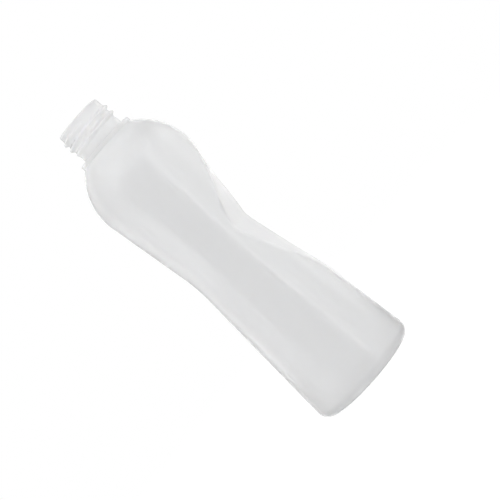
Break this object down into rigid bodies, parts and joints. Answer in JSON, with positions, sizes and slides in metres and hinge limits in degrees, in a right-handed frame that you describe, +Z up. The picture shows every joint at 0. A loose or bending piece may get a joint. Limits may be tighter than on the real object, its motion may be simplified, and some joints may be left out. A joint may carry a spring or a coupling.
{
  "type": "squeeze bottle",
  "caption": "Soft translucent squeeze bottle, round with a waist and a domed shoulder, open threaded neck, one side pressed in at the waist.",
  "frame": {"origin": "middle of the base, on the surface the bottle stands on", "axes": "+Z up along the bottle's axis to the mouth; the pressed side faces 10 degrees from +X towards -Y"},
  "size_m": [0.0498, 0.0498, 0.155],
  "materials": {
    "milky_plastic": "natural low-density polyethylene, milky translucent, satin"
  },
  "bodies": {
    "root": {"bottle": "milky_plastic"}
  },
  "joints": []
}
